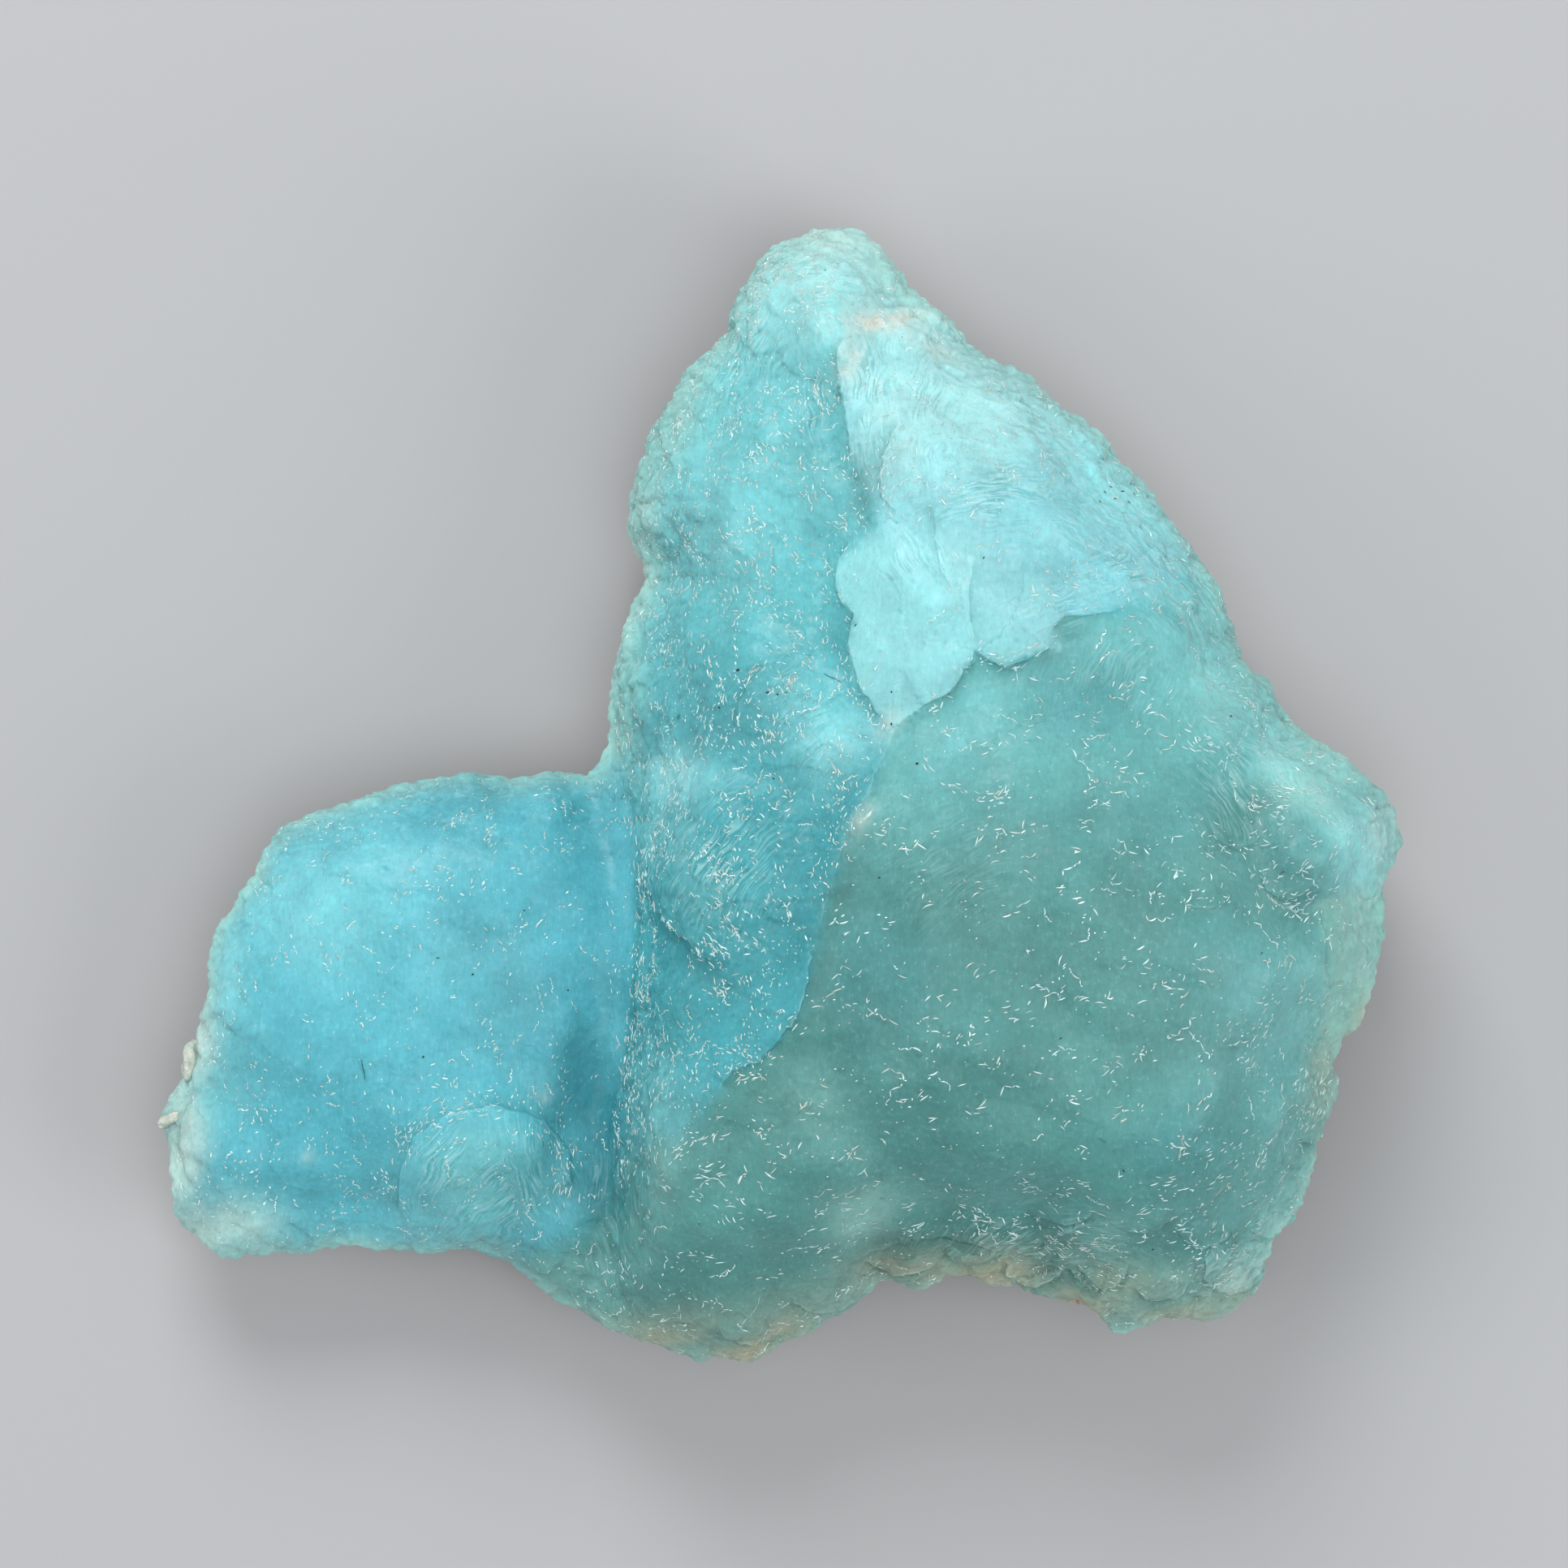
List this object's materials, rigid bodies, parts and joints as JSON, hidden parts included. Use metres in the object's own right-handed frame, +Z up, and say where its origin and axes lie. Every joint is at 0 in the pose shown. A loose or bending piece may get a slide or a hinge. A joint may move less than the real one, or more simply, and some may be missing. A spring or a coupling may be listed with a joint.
{
  "type": "hemimorphite specimen",
  "caption": "Irregular plate of lumpy blue-green mineral crust with a low side lobe, a deep groove and a ridge; a display stone that lies on its flat-bottomed back.",
  "frame": {"origin": "on the floor under the middle of the stone's bounding box", "axes": "+Z up, away from the floor, out of the crust side; +X along the stone's width, from the low side lobe towards the thick body; +Y from the broad lower rim towards the narrow summit"},
  "size_m": [0.0608, 0.056, 0.0193],
  "materials": {
    "hemimorphite_crust": "translucent waxy crust with fine sparkling crystal edges, paler at the rims, beige matrix on the underside"
  },
  "bodies": {
    "root": {"hemimorphite": "hemimorphite_crust"}
  },
  "joints": []
}
